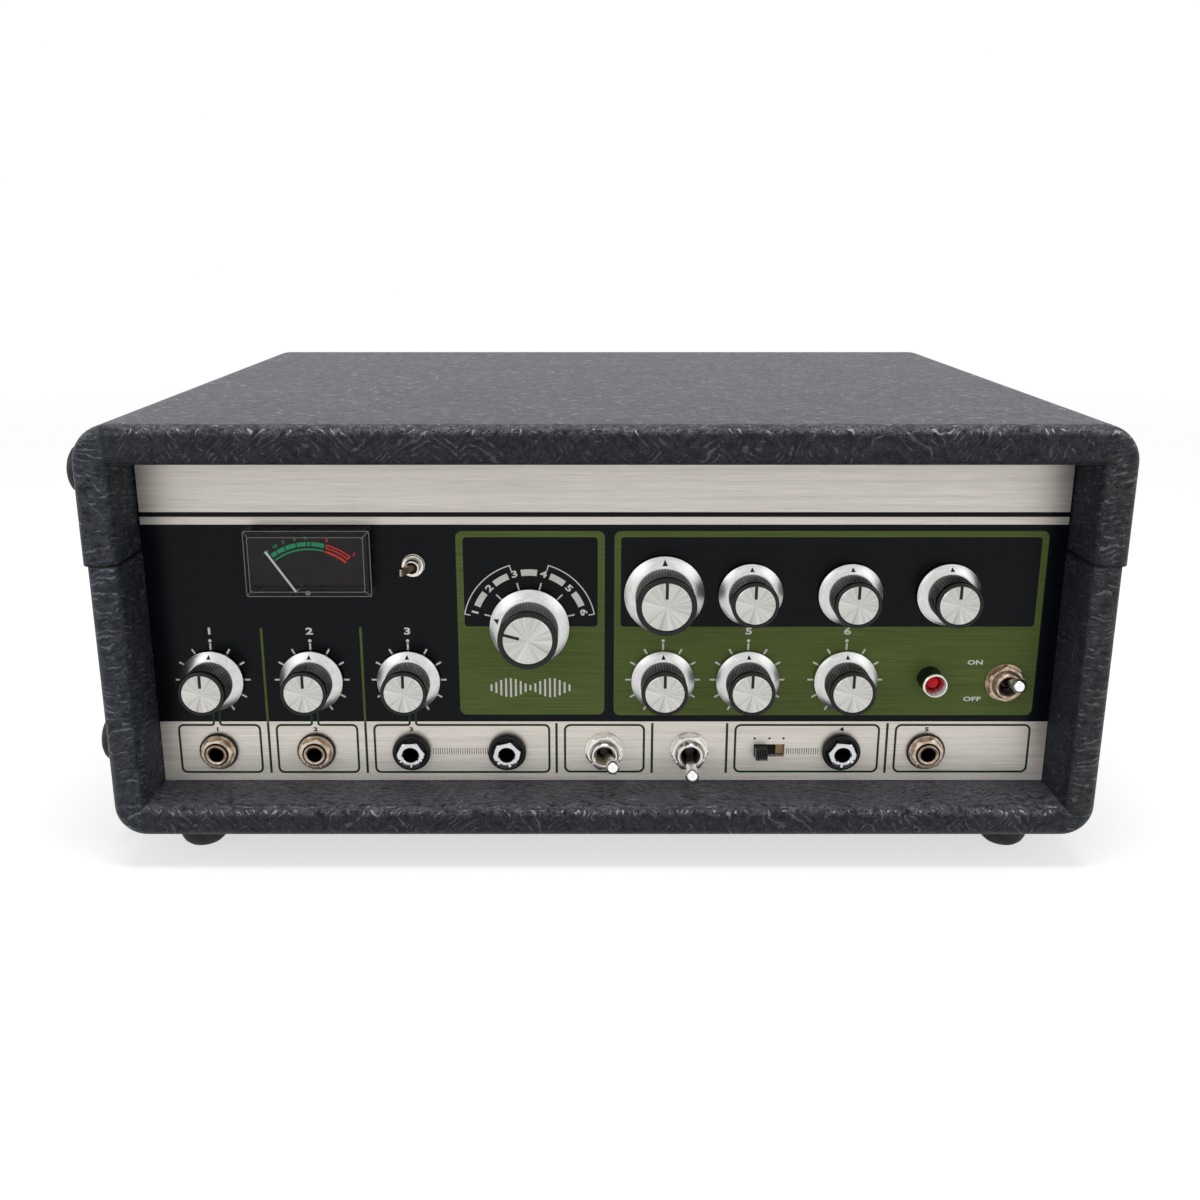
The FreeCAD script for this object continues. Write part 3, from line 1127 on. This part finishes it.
# ---------------------------------------------------------------- tape transport
def rounded_path(corners, radius):
    """A closed wire of straight runs joined by arcs of one radius."""
    count = len(corners)
    edges = []
    ends = []
    for k in range(count):
        here = corners[k]
        before = (corners[k - 1] - here).normalize()
        after = (corners[(k + 1) % count] - here).normalize()
        inner = before + after
        half_angle = math.acos(max(-1.0, min(1.0, before.dot(after)))) / 2
        reach = radius / math.tan(half_angle)
        start = here + before * reach
        finish = here + after * reach
        middle = here + inner.normalize() * (radius / math.sin(half_angle) - radius)
        ends.append((start, finish))
        edges.append(Part.Arc(start, middle, finish).toShape())
    for k in range(count):
        nxt = ends[(k + 1) % count][0]
        if (nxt - ends[k][1]).Length > 0.001:
            edges.append(Part.LineSegment(ends[k][1], nxt).toShape())
    return Part.Wire(Part.__sortEdges__(edges))


def ribbon(name, path, thick, tall, low):
    """A band standing on edge along a closed path."""
    outer = path.makeOffset2D(thick / 2)
    inner = path.makeOffset2D(-thick / 2)
    wires = sorted((outer, inner), key=lambda wire: Part.Face(wire).Area)
    band = Part.Face(wires[1]).cut(Part.Face(wires[0]))
    item = DOC.addObject("Part::Feature", name)
    item.Shape = band.extrude(FreeCAD.Vector(0, 0, tall))
    item.Placement = FreeCAD.Placement(FreeCAD.Vector(0, 0, low), UPRIGHT)
    return item


def make_tape():
    """Endless loop: past the heads, up the right side, and back in folds across the tank."""
    bend = float(s.guide_radius + s.tape_gap + s.tape_thick / 2)
    left = float(s.loop_left)
    right = float(s.loop_right)
    front = float(TAPE_LINE)
    back = float(LOOP_BACK)
    fold_left = left + float(s.fold_inset)
    fold_right = right - float(s.fold_inset)
    pitch = float(s.fold_pitch)
    points = [(left, front), (right, front), (right, back), (fold_left, back)]
    level = back
    for k in range(2):
        points += [(fold_left, level - pitch), (fold_right, level - pitch),
                   (fold_right, level - 2 * pitch)]
        level -= 2 * pitch
        if k == 0:
            points.append((fold_left, level))
    points.append((left, level))
    corners = [FreeCAD.Vector(x, y, 0) for x, y in points]
    loop = ribbon("tape", rounded_path(corners, bend), float(s.tape_thick), float(s.tape_wide),
                  float(TAPE_LOW))
    return node(loop, "tape_loop")


def make_tape_tank():
    tank = new_body("tank")
    wide = s.tank_right - s.tank_left
    deep = TANK_BACK - TANK_FRONT
    wall = s.tank_wall
    add_box(tank, "tank_block", wide, deep, s.tank_tall, (s.tank_left, TANK_FRONT, DECK_TOP))
    take_box(tank, "tank_room", wide - 2 * wall, deep - 2 * wall, s.tank_tall,
             (s.tank_left + wall, TANK_FRONT + wall, DECK_TOP + s.sheet_thick))
    for tag, across in (("left", s.loop_left), ("right", s.loop_right)):
        take_box(tank, "tank_notch_" + tag, s.tank_notch, 3 * wall, s.tank_tall,
                 (across - s.tank_notch / 2, TANK_FRONT - wall, DECK_TOP + s.sheet_thick))
    node(tank, "tape_tank")
    top = DECK_TOP + s.tank_tall
    sheet = box("cover_sheet", wide, deep, s.cover_thick, (s.tank_left, TANK_FRONT, top))
    inset = s.cover_screw_inset
    screws = [rod("cover_screw_%d" % k, s.cover_screw, s.cover_thick, (x, y, top + s.cover_thick))
              for k, (x, y) in enumerate((x, y) for x in (s.tank_left + inset, s.tank_right - inset)
                                         for y in (TANK_FRONT + inset, TANK_BACK - inset))]
    node(group("tank_lid", sheet, *screws), "tank_cover")


def make_heads():
    """Erase, record and three playback heads on the deck, their faces to the tape."""
    face = TAPE_LINE + s.tape_thick / 2 + s.tape_gap
    heads = []
    for k in range(HEADS):
        across = s.head_first + k * s.head_pitch
        block = box("head_block_%d" % k, s.head_wide, s.head_deep, s.head_tall,
                    (across - s.head_wide / 2, face + s.head_nose, DECK_TOP))
        nose = rod("head_nose_%d" % k, s.head_nose, s.head_tall, (across, face + s.head_nose, DECK_TOP))
        heads.append(fuse("head_%d" % k, block, nose))
    node(group("heads", *heads), "tape_heads")


def make_guides():
    """Corner posts, the pressure pads on their bar and the pinch arm's pivot post."""
    bend = s.guide_radius + s.tape_gap + s.tape_thick / 2
    low = DECK_TOP + s.tape_up - s.tape_gap - s.guide_flange
    parts = []
    for tag, across in (("left", s.loop_left + bend), ("right", s.loop_right - bend)):
        parts.append(rod("guide_" + tag, s.guide_radius, s.guide_tall, (across, TAPE_LINE + bend, DECK_TOP)))
        parts.append(rod("guide_foot_" + tag, s.guide_radius + 2 * s.tape_gap + s.tape_thick,
                         s.guide_flange, (across, TAPE_LINE + bend, low)))
    posts = [fuse("post_" + tag, *parts[k:k + 2]) for tag, k in (("left", 0), ("right", 2))]
    pad_back = TAPE_LINE - s.tape_thick / 2 - s.tape_gap
    last = s.head_first + (HEADS - 1) * s.head_pitch
    bar_y = pad_back - s.pad_deep - s.pad_arm
    bar = box("pad_bar", last - s.head_first + s.pad_wide, s.pad_arm, s.pad_bar_tall,
              (s.head_first - s.pad_wide / 2, bar_y, DECK_TOP))
    pads = [box("pad_%d" % k, s.pad_wide, s.pad_deep, s.tape_wide,
                (s.head_first + k * s.head_pitch - s.pad_wide / 2, pad_back - s.pad_deep, TAPE_LOW))
            for k in range(HEADS)]
    pivot = rod("arm_post", s.arm_pin, s.arm_up + s.arm_thick + s.arm_pin,
                (s.capstan_across + s.arm_length, ROLLER_LINE, DECK_TOP))
    node(group("guides", *posts, fuse("pads_on_bar", bar, *pads), pivot), "tape_guides")


def make_capstan():
    """Capstan shaft and flywheel on one axis, its bearing, and the belt drive."""
    top = DECK_TOP + s.capstan_tall
    tail = DECK_UNDER - s.capstan_tail
    shaft = s.capstan_radius
    wheel_top = WHEEL_LOW + s.flywheel_thick
    wheel = turned("capstan_part", [(0, tail), (shaft, tail), (shaft, WHEEL_LOW),
                                    (s.flywheel_radius, WHEEL_LOW), (s.flywheel_radius, wheel_top),
                                    (shaft, wheel_top), (shaft, top), (0, top)],
                   (s.capstan_across, CAPSTAN_LINE, 0))
    node(wheel, "capstan")
    bore = shaft + s.running_gap
    flange_top = DECK_TOP + s.bearing_flange_thick
    bearing = turned("bearing", [(bore, DECK_UNDER - s.bearing_down),
                                 (s.bearing_radius, DECK_UNDER - s.bearing_down),
                                 (s.bearing_radius, DECK_TOP), (s.bearing_flange, DECK_TOP),
                                 (s.bearing_flange, flange_top), (bore, flange_top)],
                     (s.capstan_across, CAPSTAN_LINE, 0))
    node(bearing, "capstan_bearing")


def make_motor():
    x = s.capstan_across
    y = MOTOR_LINE
    well = MOTOR_TOP - s.motor_shaft_in
    can = turned("motor_can", [(0, MOTOR_TOP - s.motor_tall), (s.motor_radius, MOTOR_TOP - s.motor_tall),
                               (s.motor_radius, MOTOR_TOP), (s.motor_shaft + s.running_gap, MOTOR_TOP),
                               (s.motor_shaft + s.running_gap, well - s.running_gap),
                               (0, well - s.running_gap)], (x, y, 0))
    posts = []
    for k in range(MOTOR_POSTS):
        angle = math.radians(90 + 360 / MOTOR_POSTS * k)
        posts.append(rod("motor_post_%d" % k, s.motor_post, s.motor_drop,
                         (x + s.motor_post_ring * math.cos(angle),
                          y + s.motor_post_ring * math.sin(angle), MOTOR_TOP)))
    node(group("motor_set", can, *posts), "motor")
    wheel_top = WHEEL_LOW + s.flywheel_thick
    pulley = turned("pulley", [(0, well), (s.motor_shaft, well), (s.motor_shaft, WHEEL_LOW),
                               (s.pulley_radius, WHEEL_LOW), (s.pulley_radius, wheel_top), (0, wheel_top)],
                    (x, y, 0))
    node(pulley, "motor_pulley")


def belt_wire(near, near_radius, far, far_radius):
    """Two tangents and two arcs around a pair of circles that lie along Y."""
    gap = far.y - near.y
    lean = math.asin((near_radius - far_radius) / gap)
    side = FreeCAD.Vector(math.cos(lean), math.sin(lean), 0)
    mirror = FreeCAD.Vector(-side.x, side.y, 0)
    down = FreeCAD.Vector(0, -1, 0)
    a = near + side * near_radius
    b = far + side * far_radius
    c = far + mirror * far_radius
    d = near + mirror * near_radius
    edges = [Part.LineSegment(a, b).toShape(), Part.Arc(b, far - down * far_radius, c).toShape(),
             Part.LineSegment(c, d).toShape(), Part.Arc(d, near + down * near_radius, a).toShape()]
    return Part.Wire(edges)


def make_belt():
    across = float(s.capstan_across)
    near = FreeCAD.Vector(across, float(CAPSTAN_LINE), 0)
    far = FreeCAD.Vector(across, float(MOTOR_LINE), 0)
    grow = float(s.belt_gap + s.belt_thick / 2)
    path = belt_wire(near, float(s.flywheel_radius) + grow, far, float(s.pulley_radius) + grow)
    low = float(WHEEL_LOW + (s.flywheel_thick - s.belt_tall) / 2)
    node(ribbon("belt", path, float(s.belt_thick), float(s.belt_tall), low), "drive_belt")


def make_pinch():
    """Arm on its post and the rubber roller that presses the tape to the capstan."""
    low = DECK_TOP + s.arm_up
    x = s.capstan_across
    y = ROLLER_LINE
    pivot = x + s.arm_length
    plate = fuse("arm_plate", box("arm_bar", s.arm_length, 2 * s.arm_half, s.arm_thick,
                                  (x, y - s.arm_half, low)),
                 rod("arm_end", s.arm_half, s.arm_thick, (x, y, low)),
                 rod("arm_hub", s.arm_half + s.arm_pin / 2, s.arm_thick, (pivot, y, low)))
    bored = cut("arm_bored", plate, rod("arm_hole", s.arm_pin + s.running_gap, 3 * s.arm_thick,
                                        (pivot, y, low - s.arm_thick)))
    roller_low = low + s.arm_thick + s.tape_gap
    pin = rod("roller_axle", s.roller_pin, s.roller_tall + s.arm_thick, (x, y, low + s.arm_thick))
    node(fuse("arm", bored, pin), "pinch_arm")
    roller = cut("roller", rod("roller_tyre", s.roller_radius, s.roller_tall, (x, y, roller_low)),
                 rod("roller_bore", s.roller_pin + s.running_gap, s.roller_tall, (x, y, roller_low)))
    node(roller, "pinch_roller")


# ---------------------------------------------------------------- power supply and electronics
def make_transformer():
    x = s.core_across
    y = CHASSIS_BACK - s.core_inset
    core = box("core", s.core_wide, s.core_deep, s.core_tall, (x - s.core_wide / 2, y - s.core_deep / 2,
                                                              PLATE_TOP))
    coil_low = PLATE_TOP + (s.core_tall - s.coil_tall) / 2
    coil = box("coil", s.coil_wide, s.coil_deep, s.coil_tall, (x - s.coil_wide / 2, y - s.coil_deep / 2,
                                                              coil_low))
    wound = cut("coil_around", coil, core)
    feet = [box("core_foot_" + tag, s.core_flange, s.core_deep, s.sheet_thick, (at, y - s.core_deep / 2,
                                                                               PLATE_TOP))
            for tag, at in (("left", x - s.core_wide / 2 - s.core_flange), ("right", x + s.core_wide / 2))]
    node(group("mains_transformer", fuse("core_and_feet", core, *feet), wound), "transformer")


def make_boards():
    top = PLATE_TOP + s.board_up
    sheet = box("board_sheet", s.board_wide, s.board_deep, s.board_thick, (s.board_left, BOARD_FRONT, top))
    inset = 2 * s.board_post
    columns = (s.board_left + inset, s.board_left + s.board_wide - inset)
    rows = (BOARD_FRONT + inset, BOARD_FRONT + s.board_deep - inset)
    posts = [rod("board_post_%d" % k, s.board_post, s.board_up, (x, y, PLATE_TOP))
             for k, (x, y) in enumerate((x, y) for x in columns for y in rows)]
    deck = top + s.board_thick
    cans = [rod("can_%d" % k, s.can_radius, s.can_tall,
                (s.board_left + (k + 1) * 3 * s.can_radius, BOARD_FRONT + 3 * s.can_radius, deck))
            for k in range(BOARD_CANS)]
    chips = [box("chip_%d" % k, s.chip_wide, s.chip_deep, s.chip_tall,
                 (s.board_left + s.chip_wide + (k % CHIP_COLUMNS) * 2 * s.chip_wide,
                  BOARD_FRONT + s.board_deep / 2 + (k // CHIP_COLUMNS) * 3 * s.chip_deep, deck))
             for k in range(BOARD_CHIPS)]
    node(group("boards", sheet, *posts, *cans, *chips), "circuit_board")


# ---------------------------------------------------------------- build, check and write
def check_and_write():
    DOC.recompute()
    for item in DOC.Objects:
        if "Invalid" in item.State or "Error" in item.State:
            raise RuntimeError("%s did not recompute: %s" % (item.Name, item.State))
    os.makedirs("parts", exist_ok=True)
    for item in NODES:
        if item.Shape.isNull() or not item.Shape.isValid():
            raise RuntimeError("%s has no valid shape" % item.Label)
    for item in NODES:
        item.Shape.exportStep("parts/%s.step" % item.Label)
    print("%d sub-parts, %d solids" % (len(NODES), sum(len(item.Shape.Solids) for item in NODES)))


make_lower_case()
make_lid()
make_feet()
make_lid_clips()
make_handle()
make_handle_brackets()
make_chassis()
make_deck()
make_front_panel()
make_rear_service()
make_knobs()
make_controls()
make_jacks()
make_toggles()
make_mini_switch()
make_slide_switch()
make_lamp()
make_meter()
make_tape()
make_tape_tank()
make_heads()
make_guides()
make_capstan()
make_motor()
make_belt()
make_pinch()
make_transformer()
make_boards()
check_and_write()
